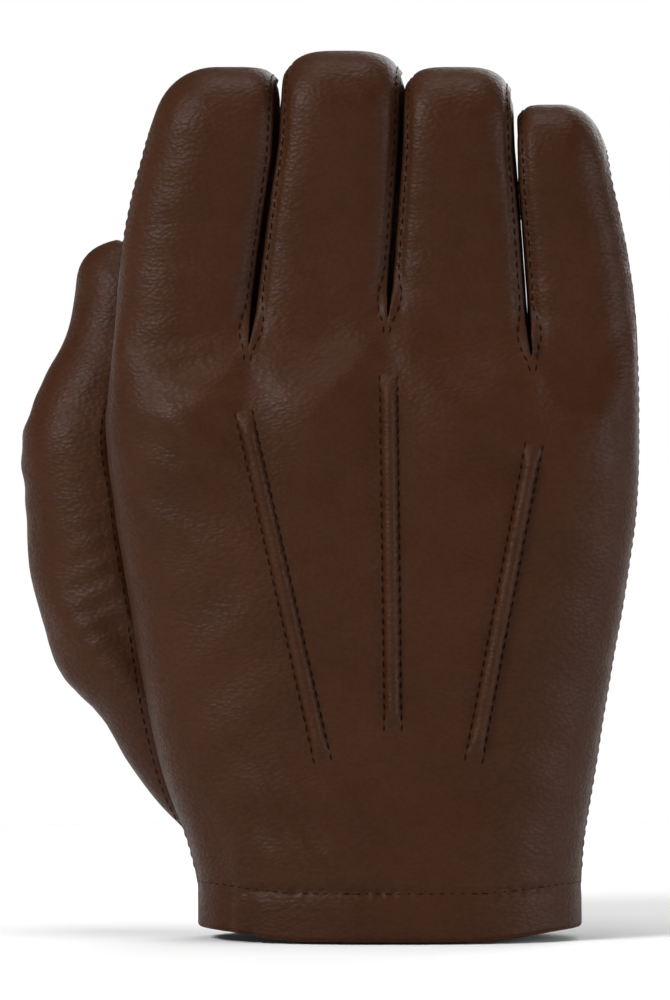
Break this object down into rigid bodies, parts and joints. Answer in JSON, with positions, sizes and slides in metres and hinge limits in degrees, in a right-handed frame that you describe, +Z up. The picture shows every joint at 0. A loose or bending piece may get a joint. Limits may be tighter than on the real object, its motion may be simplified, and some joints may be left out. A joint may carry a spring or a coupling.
{
  "type": "leather dress glove",
  "caption": "Right-hand leather dress glove with a turned hem and raised points on the back, in the curled shape of a worn hand. Fingers and thumb bend.",
  "frame": {"origin": "middle of the cuff opening, in the plane of the cuff's edge", "axes": "+Z up the hand from the cuff to the knuckles, -Y out of the back of the hand, -X to the thumb side"},
  "size_m": [0.1136, 0.0626, 0.163],
  "materials": {
    "leather": "smooth dyed lambskin with a fine grain and a soft sheen",
    "leather_inside": "the turned-in edge of the same leather, slightly duller"
  },
  "bodies": {
    "hand": {"back_panel": "leather", "palm_panel": "leather", "hem_facing": "leather_inside", "point_index": "leather", "point_middle": "leather", "point_ring": "leather", "thumb_root_back": "leather", "thumb_root_palm": "leather"},
    "thumb_tip": {"thumb_tip_back": "leather", "thumb_tip_palm": "leather"},
    "index_lower": {"index_lower_back": "leather", "index_lower_palm": "leather", "index_lower_outer_side": "leather"},
    "index_upper": {"index_upper_back": "leather", "index_upper_palm": "leather", "index_upper_outer_side": "leather"},
    "middle_lower": {"middle_lower_back": "leather", "middle_lower_palm": "leather", "middle_lower_thumb_side": "leather", "middle_lower_outer_side": "leather"},
    "middle_upper": {"middle_upper_back": "leather", "middle_upper_palm": "leather", "middle_upper_thumb_side": "leather", "middle_upper_outer_side": "leather"},
    "ring_lower": {"ring_lower_back": "leather", "ring_lower_palm": "leather", "ring_lower_thumb_side": "leather", "ring_lower_outer_side": "leather"},
    "ring_upper": {"ring_upper_back": "leather", "ring_upper_palm": "leather", "ring_upper_thumb_side": "leather", "ring_upper_outer_side": "leather"},
    "little_lower": {"little_lower_back": "leather", "little_lower_palm": "leather", "little_lower_thumb_side": "leather"},
    "little_upper": {"little_upper_back": "leather", "little_upper_palm": "leather", "little_upper_thumb_side": "leather"}
  },
  "joints": [
    {"name": "index_root", "type": "hinge", "parent": "hand", "child": "index_lower", "pos_m": [-0.03575, 0, 0.11], "axis": [-1, 0, 0], "range_deg": [-10, 10]},
    {"name": "index_bend", "type": "hinge", "parent": "index_lower", "child": "index_upper", "pos_m": [-0.03575, 0, 0.1503], "axis": [-1, 0, 0], "range_deg": [-75, 8]},
    {"name": "middle_root", "type": "hinge", "parent": "hand", "child": "middle_lower", "pos_m": [-0.01095, 0, 0.11], "axis": [-1, 0, 0], "range_deg": [-10, 55]},
    {"name": "middle_bend", "type": "hinge", "parent": "middle_lower", "child": "middle_upper", "pos_m": [-0.01095, 0, 0.1533], "axis": [-1, 0, 0], "range_deg": [-75, 8]},
    {"name": "ring_root", "type": "hinge", "parent": "hand", "child": "ring_lower", "pos_m": [0.01215, 0, 0.11], "axis": [-1, 0, 0], "range_deg": [-10, 55]},
    {"name": "ring_bend", "type": "hinge", "parent": "ring_lower", "child": "ring_upper", "pos_m": [0.01215, 0, 0.1503], "axis": [-1, 0, 0], "range_deg": [-75, 8]},
    {"name": "little_root", "type": "hinge", "parent": "hand", "child": "little_lower", "pos_m": [0.03365, 0, 0.11], "axis": [-1, 0, 0], "range_deg": [-10, 55]},
    {"name": "little_bend", "type": "hinge", "parent": "little_lower", "child": "little_upper", "pos_m": [0.03365, 0, 0.1448], "axis": [-1, 0, 0], "range_deg": [-75, 8]},
    {"name": "thumb_bend", "type": "hinge", "parent": "hand", "child": "thumb_tip", "pos_m": [-0.05592, 0.0205, 0.088], "axis": [-1, 0, 0], "range_deg": [-5, 30]}
  ]
}
